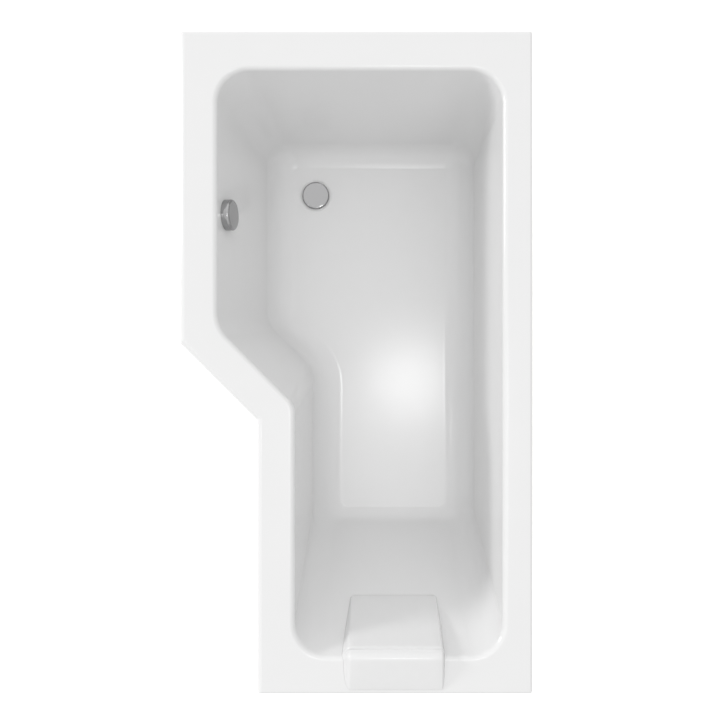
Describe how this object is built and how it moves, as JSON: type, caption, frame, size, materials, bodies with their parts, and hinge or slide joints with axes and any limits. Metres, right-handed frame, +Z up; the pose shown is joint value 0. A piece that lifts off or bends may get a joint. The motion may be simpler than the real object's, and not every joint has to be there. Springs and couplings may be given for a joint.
{
  "type": "p shaped shower bath",
  "caption": "White acrylic shower bath with a straight-sided P plan: wide showering end, one diagonal step, sloped backrest with a headrest, on adjustable legs.",
  "frame": {"origin": "on the floor, under the middle of the bath's overall length and width, with the feet at their middle setting", "axes": "+Z up; +Y towards the foot end with the waste; -X towards the open front, so the long straight wall side faces +X"},
  "size_m": [0.8, 1.5, 0.5887],
  "materials": {
    "acrylic_white": "gloss acrylic, white, with a resin and glass fibre coat behind it",
    "headrest_skin": "soft white moulded skin over foam, low gloss",
    "base_board": "particle board under a clear resin and glass fibre coat",
    "batten_timber": "planed softwood",
    "zinc_steel": "zinc plated",
    "black_plastic": "matt moulded",
    "black_rubber": "matt",
    "chrome": "polished",
    "pipe_white": "satin moulded"
  },
  "bodies": {
    "bath": {"bath_shell": "acrylic_white", "headrest_pad": "headrest_skin", "base_board": "base_board", "batten_front": "batten_timber", "batten_diagonal": "batten_timber", "batten_narrow": "batten_timber", "batten_head": "batten_timber", "batten_wall": "batten_timber", "batten_foot": "batten_timber", "rail_foot_end": "zinc_steel", "rail_middle": "zinc_steel", "rail_head_end": "zinc_steel", "rail_screws": "zinc_steel", "foot_nuts": "zinc_steel", "wall_bracket_1": "zinc_steel", "wall_bracket_2": "zinc_steel", "wall_bracket_3": "zinc_steel", "bracket_screws": "zinc_steel", "waste_flange": "chrome", "flange_seal": "black_rubber", "underfloor_seal": "black_rubber", "overflow_inlet": "pipe_white", "clamp_nut": "pipe_white", "plug_cartridge": "pipe_white", "trap_nut": "pipe_white", "trap_washer": "black_rubber", "trap_body": "pipe_white", "outlet_seal": "black_rubber", "outlet_nut": "pipe_white", "overflow_cover": "chrome", "overflow_grid": "chrome", "overflow_screw": "chrome", "overflow_seal": "black_rubber", "overflow_elbow": "pipe_white", "overflow_hose": "pipe_white", "hose_nut_top": "pipe_white", "hose_nut_bottom": "pipe_white"},
    "foot_1": {"foot_rod_1": "zinc_steel", "foot_pad_1": "black_plastic"},
    "foot_2": {"foot_rod_2": "zinc_steel", "foot_pad_2": "black_plastic"},
    "foot_3": {"foot_rod_3": "zinc_steel", "foot_pad_3": "black_plastic"},
    "foot_4": {"foot_rod_4": "zinc_steel", "foot_pad_4": "black_plastic"},
    "foot_5": {"foot_rod_5": "zinc_steel", "foot_pad_5": "black_plastic"},
    "foot_6": {"foot_rod_6": "zinc_steel", "foot_pad_6": "black_plastic"},
    "plug": {"plug_cap": "chrome", "plug_stem": "chrome", "plug_seal": "black_rubber"}
  },
  "joints": [
    {"name": "foot_1_height", "type": "slide", "parent": "bath", "child": "foot_1", "axis": [0, 0, 1], "range_m": [-0.02, 0.01]},
    {"name": "foot_2_height", "type": "slide", "parent": "bath", "child": "foot_2", "axis": [0, 0, 1], "range_m": [-0.02, 0.01]},
    {"name": "foot_3_height", "type": "slide", "parent": "bath", "child": "foot_3", "axis": [0, 0, 1], "range_m": [-0.02, 0.01]},
    {"name": "foot_4_height", "type": "slide", "parent": "bath", "child": "foot_4", "axis": [0, 0, 1], "range_m": [-0.02, 0.01]},
    {"name": "foot_5_height", "type": "slide", "parent": "bath", "child": "foot_5", "axis": [0, 0, 1], "range_m": [-0.02, 0.01]},
    {"name": "foot_6_height", "type": "slide", "parent": "bath", "child": "foot_6", "axis": [0, 0, 1], "range_m": [-0.02, 0.01]},
    {"name": "plug_lift", "type": "slide", "parent": "bath", "child": "plug", "axis": [0, 0, 1], "range_m": [0, 0.01]}
  ]
}
